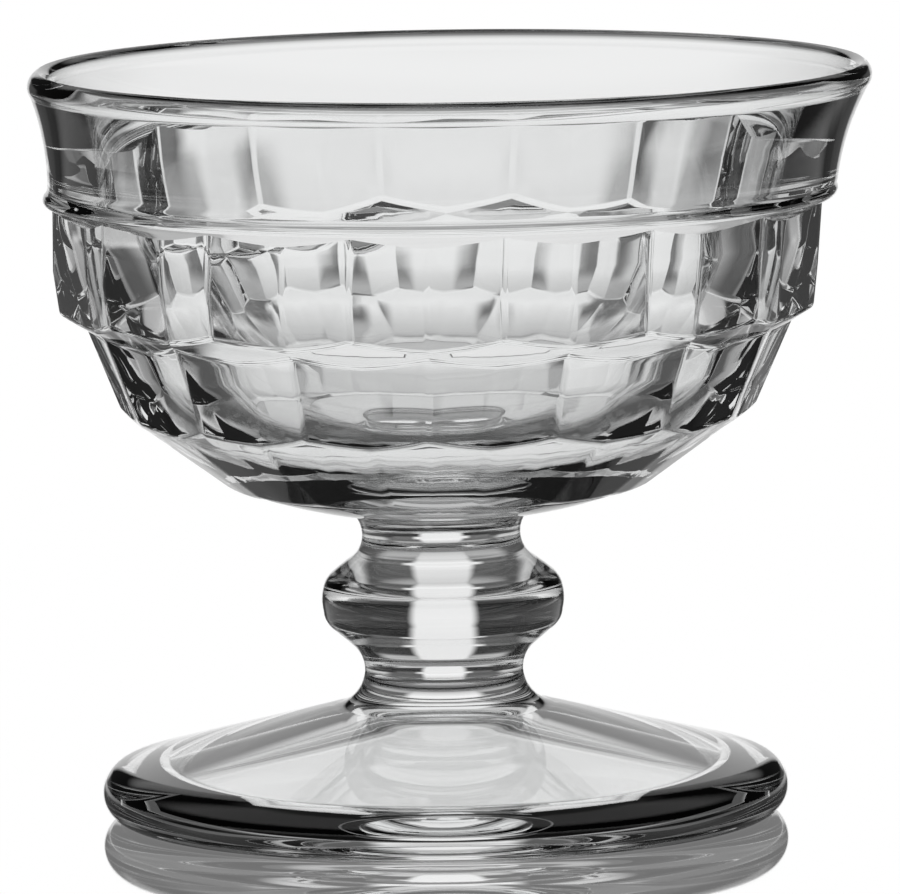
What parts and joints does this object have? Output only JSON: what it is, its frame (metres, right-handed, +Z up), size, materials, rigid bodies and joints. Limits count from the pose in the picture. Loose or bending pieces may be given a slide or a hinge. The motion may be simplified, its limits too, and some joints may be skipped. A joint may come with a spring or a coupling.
{
  "type": "sherbet glass",
  "caption": "Footed sherbet glass of clear pressed glass: flared band with a round lip, bead, three staggered rows of cube facets, turned stem with a knob, wide round foot.",
  "frame": {"origin": "centre of the glass at the level that it stands on", "axes": "+Z up along the axis of the glass, towards the mouth; +X along an edge of a cube of the middle row; -Y is the side nearest the camera in the picture, which stands 1.65 degrees round from it towards +X"},
  "size_m": [0.1016, 0.1016, 0.091],
  "materials": {
    "glass": "glossy"
  },
  "bodies": {
    "root": {"sherbet_glass": "glass"}
  },
  "joints": []
}
